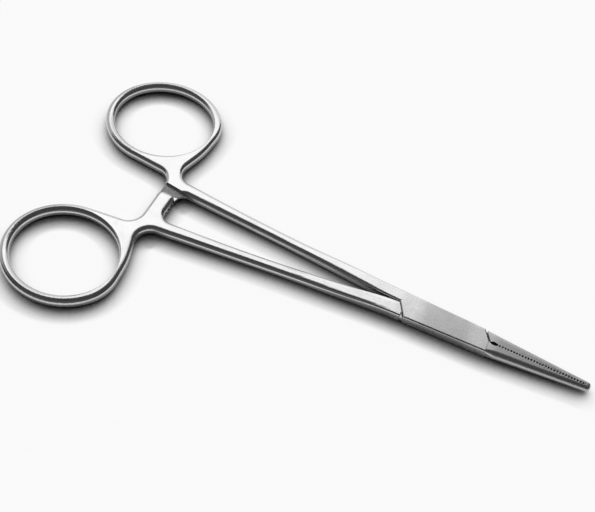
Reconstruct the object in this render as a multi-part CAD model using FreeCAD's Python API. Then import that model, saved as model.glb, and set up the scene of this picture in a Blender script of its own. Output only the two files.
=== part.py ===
import FreeCAD, Part
import math
import os

# Fine straight hemostatic forceps with a box lock, finger rings and a ratchet, shown closed.
# Millimetres. Origin on the pivot axis at the underside of the box lock, +X to the jaw tips,
# +Y to the ring of the female half, +Z up. The forceps lies flat on its underside.

V = FreeCAD.Vector

# Whole instrument
OVERALL_LENGTH = 125.0
JAW_REACH = 32.4          # pivot to the tips
THICKNESS = 2.7           # rings, necks and box lock

# Finger rings: oval, long axis along the instrument
RING_LENGTH = 28.3        # outside
RING_WIDTH = 25.0         # outside
RING_BAND = 2.12          # width of the band, seen from above
RING_SPREAD = 42.3        # between the two ring centres
RING_FRONT_FLAT = 0.65    # how much the front of the ring is flattened
RING_FRONT_LEAVE = 38     # degrees, where the front leaves the oval, towards the outer side
RING_FRONT_FALL = 4.0     # degrees off square, slope of the flattened front
RING_FRONT_ROUND = 0.95   # rounding into it, as a share of the largest that fits
EDGE_ROUND = 1.0          # rounding of the ring, neck and shank edges
HOLE_ROUND = 0.98         # rounding of the finger hole's rim
RING_LAND_FRONT = 0.12    # flat left between the two roundings at the front, the slimmest place
HOLE_ROUND_STEPS = (0, 0.25, 0.5, 0.75, 1)   # fractions of a quarter turn with a section each

# Neck, where a ring runs into its shank and its ratchet arm
NECK_FALL_REAR = 5.7      # degrees, slope of the rear tangent from the ring to the arm
NECK_FALL_FRONT = 17.4    # degrees off square, slope of the neck's front edge
NECK_BEND = 4.1           # ring centre to where that edge starts, towards the middle
NECK_BEND_ROUND = 20.0
NECK_ROUND_REAR = 3.4     # outside corner between the ring and the arm
NECK_ROUND_FRONT = 3.3    # inside corner between the ring and the shank
NECK_END = 17.45          # ring centre to where the plain shank begins
SHANK_DROP = 1.55         # ring's lowest point to the shank's outer edge, at the neck's end

# Shanks
SHANK_WIDTH = 3.05        # at both ends
SHANK_WAIST = 2.57        # at the slimmest station
SHANK_WAIST_THICKNESS = 2.3
SHANK_LEAN = 0.46         # sideways bow of both shanks just behind the box lock
SHANK_EDGE_SPREAD = 1.2   # degrees, how much the shank's edges close in along the neck
# Fractions of the shank's length, how full the section is there (0 slimmest, 1 as at the ends),
# and how far its edges have sharpened towards the box lock's
SHANK_STATIONS = ((0.2, 0.35, 0.0), (0.4, 0.0, 0.0), (0.6, 0.2, 0.15), (0.8, 0.75, 0.5))

# Ratchet arms: the female half carries the lower one, the male half the upper one
ARM_WIDTH = 4.15
ARM_REAR = 9.45           # ring centre to the arm's rear edge
ARM_LAP = 2.85            # how far each arm reaches past the middle of the instrument
ARM_TIP_ROUND = 1.3
ARM_CROTCH_ROUND = 2.2    # inside corner between the arm and the shank
ARM_STEP_REAR = 5.2       # middle of the instrument to the step beside the arm, at its rear edge
ARM_RAMP = 10             # degrees, rise of the arm's plain face from the other arm's tip
ARM_CLEARANCE = 0.05      # from each arm's tooth tips to the middle plane
ARM_TIP_GAP = 0.2         # between an arm's tip and the root of the other arm
TOOTH_COUNT = 4
TOOTH_PITCH = 1.15
TOOTH_DEPTH = 0.42
TOOTH_LAND = 0.35         # plain end of the arm ahead of the first tooth

# Box lock
BOX_REAR = 9.65           # pivot to the rear end of the cheeks, at the crotch
BOX_FRONT = 10.65         # pivot to the front end of the cheeks, at the jaw crotch
BOX_SKEW_REAR = 2.05      # how far the rear edge of the cheeks runs forward to its open side
BOX_SKEW_FRONT = 1.75     # how far the front edge of the cheeks runs back to its open side
BOX_WIDTH_REAR = 6.3
BOX_WIDTH_FRONT = 5.15
BOX_LEAN = 0.28           # how far the rear of the box lock lies towards the female ring
BOX_ROUND = 0.36
SEAM_REAR = 0.62          # where the two shanks meet, off the middle
SHANK_BURY = 1.2          # how far a shank or jaw runs on inside the box lock
SLOT_END = 8.4            # pivot to the closed ends of the slot, at the outer walls
TONGUE_THICKNESS = 0.92
TONGUE_CLEARANCE = 0.03   # above and below the tongue
SLOT_CLEARANCE = 0.06     # between the tongue's ends and the ends of the slot
SHOULDER_GAP = 0.16       # between the cheeks' edges and the male half's shoulders
PIN_DIAMETER = 2.3
PIN_RUNNING_CLEARANCE = 0.04

# Jaws
JAW_ROOT_WIDTH = 2.5      # one jaw, where it leaves the box lock
JAW_SHOULDER = 12.4       # pivot to where the full round section begins
JAW_SHOULDER_WIDTH = 2.58
JAW_SHOULDER_THICKNESS = 2.62
JAW_ROUNDNESS = 0.88      # outer edges' radius over half the thickness, ahead of the shoulder
JAW_TIP_WIDTH = 0.96      # one jaw
JAW_TIP_THICKNESS = 1.86
JAW_NOSE_ROUND = 0.7
JAW_FACE_GAP = 0.03       # between the closed jaw faces
RELIEF_LENGTH = 1.85      # opening between the jaws just ahead of the box lock
RELIEF_WIDTH = 0.8
GROOVE_PITCH = 0.62
GROOVE_WIDTH = 0.42
GROOVE_DEPTH = 0.3

MIDDLE = THICKNESS / 2
FAR = 100.0               # past every side of the instrument, for cutting shapes
RING_X = JAW_REACH - OVERALL_LENGTH + RING_LENGTH / 2
RING_Y = RING_SPREAD / 2
RING_LOW = RING_Y - RING_WIDTH / 2
HOLE_ROUND_FRONT = RING_BAND - RING_FRONT_FLAT - EDGE_ROUND - RING_LAND_FRONT
NECK_X = RING_X + NECK_END
SHANK_OUT = RING_LOW - SHANK_DROP
SHANK_IN = SHANK_OUT - SHANK_WIDTH
ARM_BACK = RING_X + ARM_REAR
ARM_FRONT = ARM_BACK + ARM_WIDTH
ARM_ROOT = ARM_LAP + ARM_TIP_GAP      # middle of the instrument to the end of the arm's cut
TONGUE_LOW = MIDDLE - TONGUE_THICKNESS / 2
TONGUE_HIGH = MIDDLE + TONGUE_THICKNESS / 2
FEMALE, MALE = 1, -1      # side of the middle on which each half's ring lies


def lerp(a, b, t):
    """Value between a and b at fraction t."""
    return a + (b - a) * t


def box_wall(x, side):
    """Y of the box lock's outer wall on the +Y (1) or -Y (-1) side."""
    t = (x + BOX_REAR) / (BOX_REAR + BOX_FRONT)
    return side * lerp(BOX_WIDTH_REAR, BOX_WIDTH_FRONT, t) / 2 + lerp(BOX_LEAN, 0, t)


def mirrored(shape):
    """The same shape on the other side of the middle."""
    return shape.mirror(V(0, 0, 0), V(0, 1, 0))


def prism(corners, z_low, z_high):
    """Upright prism over straight-sided corners."""
    loop = [V(x, y, z_low) for x, y in corners]
    return Part.Face(Part.makePolygon(loop + loop[:1])).extrude(V(0, 0, z_high - z_low))


def meet(p, p_angle, q, q_angle):
    """Corner where the line through p and the line through q cross, angles in degrees."""
    pa, qa = math.radians(p_angle), math.radians(q_angle)
    cross = math.cos(pa) * math.sin(qa) - math.sin(pa) * math.cos(qa)
    t = ((q[0] - p[0]) * math.sin(qa) - (q[1] - p[1]) * math.cos(qa)) / cross
    return p[0] + t * math.cos(pa), p[1] + t * math.sin(pa)


def rounded_chain(corners):
    """Edges along corners given as (x, y, radius): straight runs joined by tangent arcs."""
    points = [V(x, y, 0) for x, y, radius in corners]
    edges, start = [], points[0]
    for k in range(1, len(points) - 1):
        radius = corners[k][2]
        first = last = points[k]
        if radius:
            back = (points[k - 1] - points[k]).normalize()
            ahead = (points[k + 1] - points[k]).normalize()
            half = back.getAngle(ahead) / 2
            first = points[k] + back * (radius / math.tan(half))
            last = points[k] + ahead * (radius / math.tan(half))
            crown = points[k] + (back + ahead).normalize() * (radius / math.sin(half) - radius)
        edges.append(Part.LineSegment(start, first).toShape())
        if radius:
            edges.append(Part.Arc(first, crown, last).toShape())
        start = last
    edges.append(Part.LineSegment(start, points[-1]).toShape())
    return edges


def ring_point(angle):
    """Point of the ring's outer oval at an angle of its own parameter, in degrees."""
    a = math.radians(angle)
    return RING_X + RING_LENGTH / 2 * math.cos(a), RING_Y + RING_WIDTH / 2 * math.sin(a)


def bow_face():
    """Ring, neck and ratchet arm seen from above, on the +Y side, without the finger hole."""
    aspect = RING_LENGTH / RING_WIDTH
    rear = 270 - math.degrees(math.atan(aspect * math.tan(math.radians(NECK_FALL_REAR))))
    leave = ring_point(RING_FRONT_LEAVE)
    leave_slope = 90 + math.degrees(math.atan(aspect * math.tan(math.radians(RING_FRONT_LEAVE))))
    front_slope, neck_slope = 90 - RING_FRONT_FALL, 90 - NECK_FALL_FRONT
    front = (RING_X + RING_LENGTH / 2 - RING_FRONT_FLAT, RING_Y)
    bend = meet(front, front_slope, (0, RING_Y - NECK_BEND), 0)
    front_corner = meet(leave, leave_slope, front, front_slope)
    reach = math.dist(leave, front_corner)
    turn = math.radians(leave_slope - front_slope)
    shank_run = -BOX_REAR - NECK_X
    slope = -math.degrees(math.atan((SHANK_OUT - BOX_WIDTH_REAR / 2) / shank_run))
    rear_corner = meet(ring_point(rear), -NECK_FALL_REAR, (ARM_BACK, 0), 90)
    neck_corner = meet(bend, neck_slope, (NECK_X, SHANK_OUT), slope)
    crotch = meet((ARM_FRONT, 0), 90, (NECK_X, SHANK_IN), slope + SHANK_EDGE_SPREAD)
    chain = [(*ring_point(rear), 0),
             (*rear_corner, NECK_ROUND_REAR),
             (ARM_BACK, -ARM_LAP, ARM_TIP_ROUND),
             (ARM_FRONT, -ARM_LAP, ARM_TIP_ROUND),
             (*crotch, ARM_CROTCH_ROUND),
             (NECK_X, SHANK_IN, 0),
             (NECK_X, SHANK_OUT, 0),
             (*neck_corner, NECK_ROUND_FRONT),
             (*bend, NECK_BEND_ROUND),
             (*front_corner, RING_FRONT_ROUND * reach / math.tan(turn / 2)),
             (*leave, 0)]
    oval = Part.Ellipse(V(RING_X, RING_Y, 0), RING_LENGTH / 2, RING_WIDTH / 2)
    around = Part.ArcOfEllipse(oval, math.radians(RING_FRONT_LEAVE), math.radians(rear)).toShape()
    return Part.Face(Part.Wire(Part.__sortEdges__([around] + rounded_chain(chain))))


def oval_wire(centre, half_length, half_width):
    """Level oval in two arcs, which meet at its front and its rear."""
    front, side = V(half_length, 0, 0), V(0, half_width, 0)
    if half_length > half_width:
        oval, start = Part.Ellipse(centre + front, centre + side, centre), 0
    else:
        oval, start = Part.Ellipse(centre + side, centre - front, centre), -math.pi / 2
    return Part.Wire([Part.ArcOfEllipse(oval, start + turn, start + turn + math.pi).toShape()
                      for turn in (0, math.pi)])


def finger_hole(upper):
    """Upper or lower half of the finger hole with its rounded rim, on the +Y side."""
    side = 1 if upper else -1
    sections = []
    for share in HOLE_ROUND_STEPS:
        angle = share * math.pi / 2
        grow, grow_front = [(1 - math.cos(angle)) * r for r in (HOLE_ROUND, HOLE_ROUND_FRONT)]
        z = MIDDLE + side * (MIDDLE - (1 - math.sin(angle)) * HOLE_ROUND)
        sections.append(oval_wire(V(RING_X + (grow_front - grow) / 2, RING_Y, z),
                                  RING_LENGTH / 2 - RING_BAND + (grow + grow_front) / 2,
                                  RING_WIDTH / 2 - RING_BAND + grow))
    straight = Part.Face(sections[0]).extrude(V(0, 0, -side * (MIDDLE - HOLE_ROUND)))
    return straight.fuse(Part.makeLoft(sections, True))


def ratchet_cut(upper):
    """Everything below the teeth of the upper arm, or above the teeth of the lower one."""
    side = 1 if upper else -1
    face = MIDDLE + side * ARM_CLEARANCE
    beyond = MIDDLE - side * TOOTH_DEPTH
    profile = [(ARM_ROOT, face), (ARM_ROOT, beyond), (-2 * ARM_LAP, beyond), (-2 * ARM_LAP, face)]
    for k in range(TOOTH_COUNT):
        y = -ARM_LAP + TOOTH_LAND + k * TOOTH_PITCH
        profile += [(y, face), (y + TOOTH_PITCH, face + side * TOOTH_DEPTH)]
    profile.append((y + TOOTH_PITCH, face))
    return across_arm(profile)


def across_arm(profile):
    """Bar across the whole arm and its crotch, over corners given as (y, z)."""
    start, end = ARM_BACK - ARM_WIDTH, ARM_FRONT + ARM_CROTCH_ROUND
    loop = [V(start, y, z) for y, z in profile]
    return Part.Face(Part.makePolygon(loop + loop[:1])).extrude(V(end - start, 0, 0))


def step_cut(upper):
    """All beside the step in the slab without an arm, but for the ramp up to the step."""
    rise = (ARM_STEP_REAR - SHANK_IN) / (NECK_X - ARM_BACK)
    behind = ARM_BACK - ARM_WIDTH
    beside = prism([(NECK_X, SHANK_IN), (behind, SHANK_IN + rise * (NECK_X - behind)),
                    (behind, -FAR), (NECK_X, -FAR)], -FAR, FAR)
    side = 1 if upper else -1
    top = MIDDLE + side * (FAR - ARM_ROOT) * math.tan(math.radians(ARM_RAMP))
    return beside.cut(across_arm([(ARM_ROOT, MIDDLE), (FAR, top), (FAR, MIDDLE - side * FAR),
                                  (ARM_ROOT, MIDDLE - side * FAR)]))


def bow_slab(with_arm, upper):
    """Upper or lower half of a ring and neck on the +Y side, with its ratchet arm or stepped."""
    face = bow_face()
    face.translate(V(0, 0, MIDDLE if upper else 0))
    slab = face.extrude(V(0, 0, MIDDLE))
    outer = THICKNESS if upper else 0
    rim = [e for e in slab.Edges
           if max(abs(v.Z - outer) for v in e.Vertexes) < 1e-6
           and min(v.X for v in e.Vertexes) < NECK_X - 1e-3]
    slab = slab.makeFillet(EDGE_ROUND, rim).cut(finger_hole(upper))
    return slab.cut(ratchet_cut(upper) if with_arm else step_cut(upper))


def bar_section(x, y_in, y_out, thickness, edge):
    """Upright section of a shank: a rectangle with rounded corners."""
    low, high = MIDDLE - thickness / 2, MIDDLE + thickness / 2
    bulge = edge * (1 - math.sqrt(0.5))
    lines = [((y_in + edge, low), (y_out - edge, low)), ((y_out, low + edge), (y_out, high - edge)),
             ((y_out - edge, high), (y_in + edge, high)), ((y_in, high - edge), (y_in, low + edge))]
    crowns = [(y_out - bulge, low + bulge), (y_out - bulge, high - bulge),
              (y_in + bulge, high - bulge), (y_in + bulge, low + bulge)]
    edges = []
    for k, (start, end) in enumerate(lines):
        after = lines[(k + 1) % 4][0]
        edges.append(Part.LineSegment(V(x, *start), V(x, *end)).toShape())
        edges.append(Part.Arc(V(x, *end), V(x, *crowns[k]), V(x, *after)).toShape())
    return Part.Wire(edges)


def shank(half, neck_end):
    """Shank of one half, on its own side, from the neck's end section into the box lock."""
    start = (SHANK_IN + SHANK_OUT) / 2
    wall = abs(box_wall(-BOX_REAR, half))
    seam = SEAM_REAR if half == FEMALE else SHOULDER_GAP - SEAM_REAR
    end = BOX_WIDTH_REAR / 4
    sections = [neck_end]
    for t, full, sharp in SHANK_STATIONS:
        width = lerp(SHANK_WAIST, SHANK_WIDTH, full)
        centre = lerp(start, end, t) + half * SHANK_LEAN * t * t
        sections.append(bar_section(
            lerp(NECK_X, -BOX_REAR, t), centre - width / 2, centre + width / 2,
            lerp(SHANK_WAIST_THICKNESS, THICKNESS, full), lerp(EDGE_ROUND, BOX_ROUND, sharp)))
    for x in (-BOX_REAR, -BOX_REAR + SHANK_BURY):
        sections.append(bar_section(x, seam, wall, THICKNESS, BOX_ROUND))
    return Part.makeLoft(sections, True)


def jaw_section(x, width, thickness, edge):
    """Upright section of a jaw on the +Y side: flat inner face, rounded outer edges."""
    low, high = MIDDLE - thickness / 2, MIDDLE + thickness / 2
    bulge = edge * (1 - math.sqrt(0.5))
    face = JAW_FACE_GAP / 2
    return Part.Wire([
        Part.LineSegment(V(x, face, low), V(x, width - edge, low)).toShape(),
        Part.Arc(V(x, width - edge, low), V(x, width - bulge, low + bulge),
                 V(x, width, low + edge)).toShape(),
        Part.LineSegment(V(x, width, low + edge), V(x, width, high - edge)).toShape(),
        Part.Arc(V(x, width, high - edge), V(x, width - bulge, high - bulge),
                 V(x, width - edge, high)).toShape(),
        Part.LineSegment(V(x, width - edge, high), V(x, face, high)).toShape(),
        Part.LineSegment(V(x, face, high), V(x, face, low)).toShape()])


def jaw():
    """One jaw on the +Y side: a round taper to a blunt nose."""
    body = Part.makeLoft([
        jaw_section(BOX_FRONT - SHANK_BURY, JAW_ROOT_WIDTH, THICKNESS, BOX_ROUND),
        jaw_section(JAW_SHOULDER, JAW_SHOULDER_WIDTH, JAW_SHOULDER_THICKNESS,
                    JAW_ROUNDNESS * JAW_SHOULDER_THICKNESS / 2),
        jaw_section(JAW_REACH, JAW_TIP_WIDTH, JAW_TIP_THICKNESS,
                    JAW_ROUNDNESS * JAW_TIP_THICKNESS / 2)], True, True)
    nose = [e for e in body.Edges
            if e.BoundBox.XMin > JAW_REACH - 1e-6 and e.BoundBox.YMax > JAW_FACE_GAP / 2 + 1e-6]
    return body.makeFillet(JAW_NOSE_ROUND, nose)


def jaw_cuts():
    """Opening at the root of the +Y jaw, and the grooves across its inner face."""
    start = BOX_FRONT + RELIEF_LENGTH
    relief = Part.Face(Part.Wire([
        Part.Arc(V(BOX_FRONT, 0, 0), V(BOX_FRONT + RELIEF_LENGTH / 2, RELIEF_WIDTH / 2, 0),
                 V(start, 0, 0)).toShape(),
        Part.LineSegment(V(start, 0, 0), V(BOX_FRONT, 0, 0)).toShape()]))
    cuts = [relief.extrude(V(0, 0, THICKNESS))]
    grooves = int((JAW_REACH - JAW_NOSE_ROUND - start) / GROOVE_PITCH)
    for k in range(grooves):
        x = start + GROOVE_PITCH * (k + 0.5)
        cuts.append(prism([(x - GROOVE_WIDTH / 2, 0), (x + GROOVE_WIDTH / 2, 0),
                           (x, JAW_FACE_GAP / 2 + GROOVE_DEPTH)], 0, THICKNESS))
    return Part.makeCompound(cuts)


def cheek_edges(gap):
    """Rear and front edges of the cheeks, as corner pairs, moved out by a gap."""
    rear_out = -BOX_REAR + BOX_SKEW_REAR
    front_out = BOX_FRONT - BOX_SKEW_FRONT
    rear = [(-BOX_REAR - gap, SEAM_REAR), (rear_out - gap, box_wall(rear_out, -1))]
    front = [(BOX_FRONT + gap, 0), (front_out + gap, box_wall(front_out, 1))]
    return rear, front


def box_block():
    """Solid box lock with both cheeks and no slot yet."""
    rear, front = cheek_edges(0)
    corners = [*rear, (BOX_FRONT, box_wall(BOX_FRONT, -1)), *front,
               (-BOX_REAR, box_wall(-BOX_REAR, 1))]
    block = prism(corners, 0, THICKNESS)
    rim = [e for e in block.Edges if abs(e.BoundBox.ZLength) < 1e-6]
    return block.makeFillet(BOX_ROUND, rim)


def slot():
    """Space between the cheeks, open to the male half's shank and jaw."""
    return prism([(-BOX_REAR, SEAM_REAR), (-SLOT_END, box_wall(-SLOT_END, 1)), (-SLOT_END, FAR),
                  (BOX_FRONT, FAR), (BOX_FRONT, 0), (SLOT_END, box_wall(SLOT_END, -1)),
                  (SLOT_END, -FAR), (-BOX_REAR, -FAR)],
                 TONGUE_LOW - TONGUE_CLEARANCE, TONGUE_HIGH + TONGUE_CLEARANCE)


def tongue():
    """Thin waist of the male half that fills the slot, its ends inside the shank and the jaw."""
    end = SLOT_END - SLOT_CLEARANCE
    open_rear, open_front = -BOX_REAR + BOX_SKEW_REAR, BOX_FRONT - BOX_SKEW_FRONT
    seam = SEAM_REAR - SHOULDER_GAP
    return prism([(-BOX_REAR - SHANK_BURY, seam), (-BOX_REAR, seam), (-end, box_wall(-end, 1)),
                  (open_front, box_wall(open_front, 1)),
                  (BOX_FRONT, JAW_ROOT_WIDTH - BOX_ROUND),
                  (BOX_FRONT + SHANK_BURY, SHOULDER_GAP), (BOX_FRONT, SHOULDER_GAP),
                  (end, box_wall(end, -1)), (open_rear, box_wall(open_rear, -1)),
                  (-BOX_REAR - SHANK_BURY, box_wall(-BOX_REAR, -1) + BOX_ROUND)],
                 TONGUE_LOW, TONGUE_HIGH)


def handle(half):
    """Ring, neck, ratchet arm and shank of one half, on the +Y side."""
    upper = half == MALE
    bow = bow_slab(upper, True).fuse(bow_slab(not upper, False)).removeSplitter()
    neck_end = next(f.OuterWire for f in bow.Faces if f.BoundBox.XMin > NECK_X - 1e-6)
    return bow.fuse(shank(half, neck_end))


def pin_hole(extra):
    """Cylinder of the pivot, wider by extra on the radius."""
    return Part.makeCylinder(PIN_DIAMETER / 2 + extra, THICKNESS)


def female_half():
    """Far ring, shank, lower ratchet arm, slotted box lock and near jaw in one piece."""
    body = handle(FEMALE).fuse([box_block(), mirrored(jaw())])
    return body.cut([slot(), pin_hole(0), mirrored(jaw_cuts())]).removeSplitter()


def male_half():
    """Near ring, shank, upper ratchet arm, tongue through the box lock and far jaw in one piece."""
    rear, front = cheek_edges(SHOULDER_GAP)
    past_rear = [*rear, (rear[1][0], -FAR), (FAR, -FAR), (FAR, FAR), (rear[0][0], FAR)]
    past_front = [*front, (front[1][0], FAR), (-FAR, FAR), (-FAR, -FAR), (front[0][0], -FAR)]
    back = mirrored(handle(MALE)).cut(prism(past_rear, -FAR, FAR))
    ahead = jaw().cut(prism(past_front, -FAR, FAR))
    body = back.fuse([tongue(), ahead])
    return body.cut([jaw_cuts(), pin_hole(PIN_RUNNING_CLEARANCE)]).removeSplitter()


def pivot_pin():
    """Plain rivet, ground flush with both cheeks."""
    return pin_hole(0)


os.makedirs("parts", exist_ok=True)
for name, shape in (("female_half", female_half()), ("male_half", male_half()),
                    ("pivot_pin", pivot_pin())):
    shape.exportStep("parts/" + name + ".step")
    print(name, shape.isValid(), len(shape.Solids), "solids", round(shape.Volume, 1), "mm3",
          len(shape.Faces), "faces")
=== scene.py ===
"""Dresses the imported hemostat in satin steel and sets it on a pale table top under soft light."""
import math
from collections import namedtuple

import bpy
from mathutils import Matrix, Vector


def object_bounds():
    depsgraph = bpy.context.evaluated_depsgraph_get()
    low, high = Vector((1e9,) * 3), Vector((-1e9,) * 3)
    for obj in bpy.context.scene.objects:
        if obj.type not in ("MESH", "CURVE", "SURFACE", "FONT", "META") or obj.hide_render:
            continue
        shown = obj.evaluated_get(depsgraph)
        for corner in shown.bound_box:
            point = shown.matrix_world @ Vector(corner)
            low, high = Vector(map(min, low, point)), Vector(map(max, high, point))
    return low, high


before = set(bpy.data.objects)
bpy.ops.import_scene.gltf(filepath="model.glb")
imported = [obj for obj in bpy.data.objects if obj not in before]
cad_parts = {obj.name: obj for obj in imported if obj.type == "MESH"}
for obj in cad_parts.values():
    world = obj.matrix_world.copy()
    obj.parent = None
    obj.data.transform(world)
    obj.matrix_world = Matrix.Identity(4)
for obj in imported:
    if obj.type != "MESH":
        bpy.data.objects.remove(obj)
cad_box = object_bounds()

MM = 0.001                          # everything is in metres

# Camera: the point it looks at, how far off it stands and on which side
CAMERA_AIM = Vector((-33.67, 0.69, 2.75)) * MM
CAMERA_DISTANCE = 190.45 * MM
CAMERA_AZIMUTH = 19.81              # degrees round from -Y towards +X
CAMERA_ELEVATION = 56.25            # degrees up
CAMERA_ROLL = 6.54
CAMERA_LENS = 53.37                 # both in the camera's own millimetres
CAMERA_SENSOR = 36.0
CAMERA_NEAREST = 10 * MM            # it shows nothing that is nearer

# Table top
FLOOR_SIZE = 6.0
FLOOR_COLOUR = (0.97, 0.97, 0.97, 1)
FLOOR_GLOW = 0.93                   # share of what is seen of it that glows white by itself
SHADE_REACH = 4 * MM                # how far off the object still takes light from that glow
SHADE_DARK = 0.35                   # share of open sky at which the glow is out
SHADE_TURN = 28                     # where the light comes from: degrees round from +Y towards -X
SHADE_RISE = 35                     # and degrees up
SHADE_SAMPLES = 8

# Light
ROOM_LEVEL = 0.07                   # brightness of the dark room round the table
# Upright soft panels: degrees round from +Y towards -X, distance, width, height of the lower and
# of the upper edge, and brightness, where 1 is white. No two are as far off, because two lamps in
# one plane take each other's light out of a reflection.
PANELS = (("tall panel", 16, 0.7, 0.78, 0.0, 1.33, 0.95),
          ("upper panel", 28, 0.68, 1.06, 0.6, 1.29, 0.68),
          ("high left panel", 58, 0.74, 0.37, 0.64, 1.36, 0.95),
          ("side panel", 73, 0.72, 0.73, 0.0, 0.64, 0.55),
          ("front fill", 185, 0.9, 2.4, 0.0, 0.7, 0.06))

# Finger rings: outside size, which gives their centres
RING_LENGTH = 28.3 * MM
RING_WIDTH = 25.0 * MM

# Steel of the rings and shanks
STEEL_COLOUR = (0.6, 0.6, 0.605)
HANDLE_ROUGHNESS = 0.22

# Brush marks
GRAIN_LENGTH = 2.5 * MM
GRAIN_WIDTH = 0.1 * MM
GRAIN_DEPTH = 0.006 * MM
GRAIN_STRENGTH = 0.4                # how much of that depth the surface takes
GRAIN_LAYERS = 2                    # how many times finer marks are laid over the coarse ones
GRAIN_ON_ROUGHNESS = 0.1
GRAIN_TURN = 7 * MM                 # past a ring, where its round marks have become straight

# Unevenness: size of its blotches, how many finer layers they have, and how much they change the
# roughness and the shade
Uneven = namedtuple("Uneven", "size layers on_roughness on_shade")
CLOUDS = Uneven(1.6 * MM, 4, 0.12, 0.06)
PATCHES = Uneven(7 * MM, 2, 0.1, 0.08)
SPECKLE = Uneven(0.45 * MM, 3, 0.15, 0.2)   # on the ground flats only
NOISE_MIDDLE = 0.5                  # what a noise texture is on average

# Ground flats of the box lock, the bare field on its cheek, and the matter jaws. Each pair is a
# stretch over which one finish becomes the other.
FLATS_START = (-11 * MM, -8 * MM)   # along X
FLAT_ROUGHNESS = 0.28
BARE_CENTRE = 0.8 * MM              # along X
BARE_END = (3.5 * MM, 7 * MM)       # from its centre, both ways
BARE_SHADE = 0.74                   # against the shade of the handles
JAWS_START = (10.5 * MM, 13 * MM)   # along X
JAWS_SHADE = 0.86
JAWS_ROUGHNESS = 0.36

# Sharp edges, which handling has worn round and bright, with a painted highlight: their colour is
# made lighter along them
EDGE_WEAR_AND_HIGHLIGHT_COLOUR = (0.74, 0.74, 0.745, 1)
EDGE_SOFTNESS = 0.12 * MM
EDGE_SAMPLES = 6
WEAR_AND_HIGHLIGHT_LEAN = (0.01, 0.12)            # lean of the worn normal where the wear and the painted highlight start and are full
WEAR_AND_HIGHLIGHT_LEVEL = 0.8                    # how bright full wear and the painted highlight are, give or take the clouds
PIN_FLUSH = (1.4 * MM, 1.9 * MM)    # from the pivot, where the pin is ground in without an edge

X_AXIS, Z_AXIS = (1, 0, 0), (0, 0, 1)
LEVEL_PART = (1, 1, 0)              # times a vector, this leaves its part in the XY plane

# The Mix node's first and second input and its output, for each kind of data
MIX_SOCKETS = {"VECTOR": (4, 5, 1), "RGBA": (6, 7, 2)}


class Wire:
    """A shader socket in an expression; each operation on it adds a Math node."""

    def __init__(self, finish, socket):
        self.finish, self.socket = finish, socket

    def math(self, operation, *values):
        return self.finish.node("ShaderNodeMath", {"operation": operation}, dict(enumerate(values)))

    def __add__(self, other):
        return self.math("ADD", self, other)

    def __sub__(self, other):
        return self.math("SUBTRACT", self, other)

    def __rsub__(self, other):
        return self.math("SUBTRACT", other, self)

    def __mul__(self, other):
        return self.math("MULTIPLY", self, other)

    def __truediv__(self, other):
        return self.math("DIVIDE", self, other)

    def __rtruediv__(self, other):
        return self.math("DIVIDE", other, self)

    def __abs__(self):
        return self.math("ABSOLUTE", self)

    __radd__, __rmul__ = __add__, __mul__


class Finish:
    """A material or world under construction."""

    def __init__(self, holder):
        holder.use_nodes = True
        self.tree = holder.node_tree
        self.tree.nodes.clear()

    def node(self, kind, settings=None, inputs=None, output=0):
        """Adds a node: its settings first, then values or links for its sockets."""
        made = self.tree.nodes.new(kind)
        for name, value in (settings or {}).items():
            setattr(made, name, value)
        for name, value in (inputs or {}).items():
            if isinstance(value, Wire):
                self.tree.links.new(value.socket, made.inputs[name])
            else:
                made.inputs[name].default_value = value
        return Wire(self, made.outputs[output]) if made.outputs else made


def fade(finish, value, start, end):
    """0 up to start and 1 from end on, smooth between."""
    return finish.node("ShaderNodeMapRange", {"interpolation_type": "SMOOTHSTEP"},
                       {"Value": value, "From Min": start, "From Max": end})


def mix(finish, kind, share, first, second):
    """The first vector or colour at a share of 0, the second at 1."""
    into_first, into_second, result = MIX_SOCKETS[kind]
    return finish.node("ShaderNodeMix", {"data_type": kind},
                       {"Factor": share, into_first: first, into_second: second}, result)


def vector(finish, operation, *values):
    """A Vector Math node that gives a vector."""
    return finish.node("ShaderNodeVectorMath", {"operation": operation}, dict(enumerate(values)))


def measure(finish, operation, *values):
    """A Vector Math node that gives a number, such as a length."""
    return finish.node("ShaderNodeVectorMath", {"operation": operation}, dict(enumerate(values)),
                       "Value")


def blotches(finish, place, uneven):
    """Uneven blotches, above and below zero."""
    noise = finish.node("ShaderNodeTexNoise", {},
                        {"Vector": place, "Scale": 1 / uneven.size, "Detail": uneven.layers})
    return noise - NOISE_MIDDLE


def straight_marks(finish, place):
    """Brush marks that run along the instrument."""
    stretched = vector(finish, "MULTIPLY", place,
                       (1 / GRAIN_LENGTH, 1 / GRAIN_WIDTH, 1 / GRAIN_WIDTH))
    return finish.node("ShaderNodeTexNoise", {},
                       {"Vector": stretched, "Scale": 1, "Detail": GRAIN_LAYERS})


def ring_marks(finish, offset, radius, height):
    """Brush marks that run round a ring, at an offset and radius from its centre."""
    mean_radius = (RING_LENGTH + RING_WIDTH) / 4
    around = vector(finish, "MULTIPLY", vector(finish, "NORMALIZE", offset),
                    (mean_radius / GRAIN_LENGTH,) * 3)
    across = finish.node("ShaderNodeCombineXYZ", {}, {"Z": radius / GRAIN_WIDTH})
    return finish.node("ShaderNodeTexNoise", {"noise_dimensions": "4D"},
                       {"Vector": vector(finish, "ADD", around, across),
                        "W": height / GRAIN_WIDTH, "Scale": 1, "Detail": GRAIN_LAYERS})


def brush_marks(finish, place, ring_centre):
    """Marks round the ring of this half, which turn to run along the instrument past it."""
    offset = vector(finish, "MULTIPLY", vector(finish, "SUBTRACT", place, ring_centre), LEVEL_PART)
    radius = measure(finish, "LENGTH", offset)
    height = measure(finish, "DOT_PRODUCT", place, Z_AXIS)
    past_ring = fade(finish, radius, RING_LENGTH / 2, RING_LENGTH / 2 + GRAIN_TURN)
    return (ring_marks(finish, offset, radius, height) * (1 - past_ring)
            + straight_marks(finish, place) * past_ring) - NOISE_MIDDLE


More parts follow.
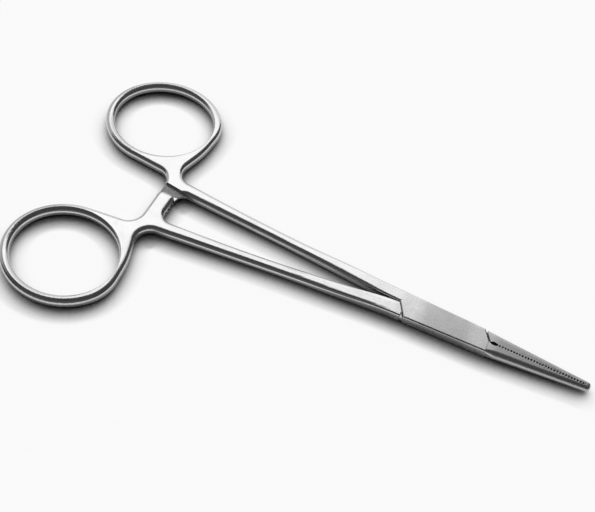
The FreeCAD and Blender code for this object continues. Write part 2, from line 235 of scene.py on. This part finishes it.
def worn_edges(finish, place):
    """The normal with sharp edges worn round, and how far it leans from the true one."""
    true = finish.node("ShaderNodeNewGeometry", output="Normal")
    rounded = finish.node("ShaderNodeBevel", {"samples": EDGE_SAMPLES}, {"Radius": EDGE_SOFTNESS})
    from_pivot = measure(finish, "LENGTH", vector(finish, "MULTIPLY", place, LEVEL_PART))
    worn = mix(finish, "VECTOR", fade(finish, from_pivot, *PIN_FLUSH), true, rounded)
    return worn, 1 - measure(finish, "DOT_PRODUCT", worn, true)


def satin_steel(name, ring_centre):
    """Stainless steel: satin handles, ground flats ahead of them, and sharp edges worn bright, with
    a painted highlight along them.
    """
    material = bpy.data.materials.new(name)
    finish = Finish(material)
    place = finish.node("ShaderNodeTexCoord", output="Object")
    along = measure(finish, "DOT_PRODUCT", place, X_AXIS)
    flats = fade(finish, along, *FLATS_START)
    bare = 1 - fade(finish, abs(along - BARE_CENTRE), *BARE_END)
    jaws = fade(finish, along, *JAWS_START)
    marks = brush_marks(finish, place, ring_centre)
    clouds = blotches(finish, place, CLOUDS)
    patches = blotches(finish, place, PATCHES)
    speckle = flats * blotches(finish, place, SPECKLE)

    roughness = (HANDLE_ROUGHNESS + (FLAT_ROUGHNESS - HANDLE_ROUGHNESS) * flats
                 + (JAWS_ROUGHNESS - FLAT_ROUGHNESS) * jaws + GRAIN_ON_ROUGHNESS * marks
                 + CLOUDS.on_roughness * clouds + PATCHES.on_roughness * patches
                 + SPECKLE.on_roughness * speckle)
    shade = (1 - (1 - BARE_SHADE) * bare - (1 - JAWS_SHADE) * jaws + PATCHES.on_shade * patches
             + CLOUDS.on_shade * clouds + SPECKLE.on_shade * speckle)
    shades = finish.node("ShaderNodeCombineXYZ", {}, {"X": shade, "Y": shade, "Z": shade})
    worn, lean = worn_edges(finish, place)
    # Wear and a painted highlight: a lighter colour along the sharp edges
    wear_and_highlight = fade(finish, lean, *WEAR_AND_HIGHLIGHT_LEAN) * (WEAR_AND_HIGHLIGHT_LEVEL + clouds)
    colour = mix(finish, "RGBA", wear_and_highlight, vector(finish, "MULTIPLY", STEEL_COLOUR, shades), EDGE_WEAR_AND_HIGHLIGHT_COLOUR)
    bump = finish.node("ShaderNodeBump", {}, {"Strength": GRAIN_STRENGTH, "Distance": GRAIN_DEPTH,
                                              "Height": marks, "Normal": worn})
    steel = finish.node("ShaderNodeBsdfPrincipled", {}, {
        "Base Color": colour, "Metallic": 1, "Roughness": roughness, "Normal": bump})
    finish.node("ShaderNodeOutputMaterial", {}, {"Surface": steel})
    return material


def dress(node, material):
    """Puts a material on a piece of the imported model."""
    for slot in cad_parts[node].material_slots:
        slot.material = material


def table_top_finish():
    """Pale and matt, with a white glow of its own that dims where the object shades it."""
    material = bpy.data.materials.new("pale table top")
    finish = Finish(material)
    matt = finish.node("ShaderNodeBsdfDiffuse", {}, {"Color": FLOOR_COLOUR})
    turn, rise = math.radians(SHADE_TURN), math.radians(SHADE_RISE)
    to_light = finish.node("ShaderNodeCombineXYZ", {}, {
        "X": -math.sin(turn) * math.cos(rise), "Y": math.cos(turn) * math.cos(rise),
        "Z": math.sin(rise)})
    open_sky = finish.node("ShaderNodeAmbientOcclusion", {"samples": SHADE_SAMPLES},
                           {"Distance": SHADE_REACH, "Normal": to_light}, output="AO")
    glow = finish.node("ShaderNodeEmission", {},
                       {"Strength": fade(finish, open_sky, SHADE_DARK, 1)})
    ray = {kind: finish.node("ShaderNodeLightPath", output=kind)
           for kind in ("Is Camera Ray", "Is Glossy Ray", "Is Transmission Ray")}
    seen = ray["Is Camera Ray"] + ray["Is Glossy Ray"] + ray["Is Transmission Ray"]
    # Socket 0 is the share of the second surface
    top = finish.node("ShaderNodeMixShader", {}, {0: FLOOR_GLOW * seen, 1: matt, 2: glow})
    finish.node("ShaderNodeOutputMaterial", {}, {"Surface": top})
    return material


def studio_floor():
    """The table top, at the height of the object's underside."""
    half, low = FLOOR_SIZE / 2, cad_box[0][2]
    corners = [(-half, -half, low), (half, -half, low), (half, half, low), (-half, half, low)]
    mesh = bpy.data.meshes.new("floor")
    mesh.from_pydata(corners, [], [(0, 1, 2, 3)])
    mesh.materials.append(table_top_finish())
    floor = bpy.data.objects.new("floor", mesh)
    bpy.context.scene.collection.objects.link(floor)


def dark_room():
    """The plain dark room round the table."""
    world = bpy.data.worlds.new("dark room")
    bpy.context.scene.world = world
    finish = Finish(world)
    room = finish.node("ShaderNodeBackground", {}, {"Color": (ROOM_LEVEL,) * 3 + (1,)})
    finish.node("ShaderNodeOutputWorld", {}, {"Surface": room})


def soft_panel(name, turn, distance, width, low, high, level):
    """One upright soft panel that faces the object."""
    lamp = bpy.data.lights.new(name, "AREA")
    lamp.shape = "RECTANGLE"
    lamp.size, lamp.size_y = width, high - low
    lamp.energy = level * math.pi * width * (high - low)
    panel = bpy.data.objects.new(name, lamp)
    panel.matrix_world = (Matrix.Rotation(math.radians(turn), 4, "Z")
                          @ Matrix.Translation((0, distance, (low + high) / 2))
                          @ Matrix.Rotation(math.radians(-90), 4, "X"))
    panel.visible_camera = False
    bpy.context.scene.collection.objects.link(panel)


def camera():
    """The photograph's view."""
    turn = (Matrix.Rotation(math.radians(CAMERA_AZIMUTH), 4, "Z")
            @ Matrix.Rotation(math.radians(90 - CAMERA_ELEVATION), 4, "X")
            @ Matrix.Rotation(math.radians(CAMERA_ROLL), 4, "Z"))
    data = bpy.data.cameras.new("camera")
    data.lens, data.sensor_width = CAMERA_LENS, CAMERA_SENSOR
    data.clip_start = CAMERA_NEAREST
    viewer = bpy.data.objects.new("camera", data)
    viewer.matrix_world = (Matrix.Translation(CAMERA_AIM) @ turn
                           @ Matrix.Translation((0, 0, CAMERA_DISTANCE)))
    bpy.context.scene.collection.objects.link(viewer)
    bpy.context.scene.camera = viewer


ring_x = cad_box[0][0] + RING_LENGTH / 2
far_ring = (ring_x, cad_box[1][1] - RING_WIDTH / 2, 0)
near_ring = (ring_x, cad_box[0][1] + RING_WIDTH / 2, 0)
far_steel = satin_steel("steel of the half with the slot", far_ring)
near_steel = satin_steel("steel of the half with the tongue", near_ring)
dress("female_half", far_steel)
dress("pivot_pin", far_steel)
dress("male_half", near_steel)
studio_floor()
dark_room()
for panel in PANELS:
    soft_panel(*panel)
camera()
bpy.context.scene.view_settings.view_transform = "Standard"
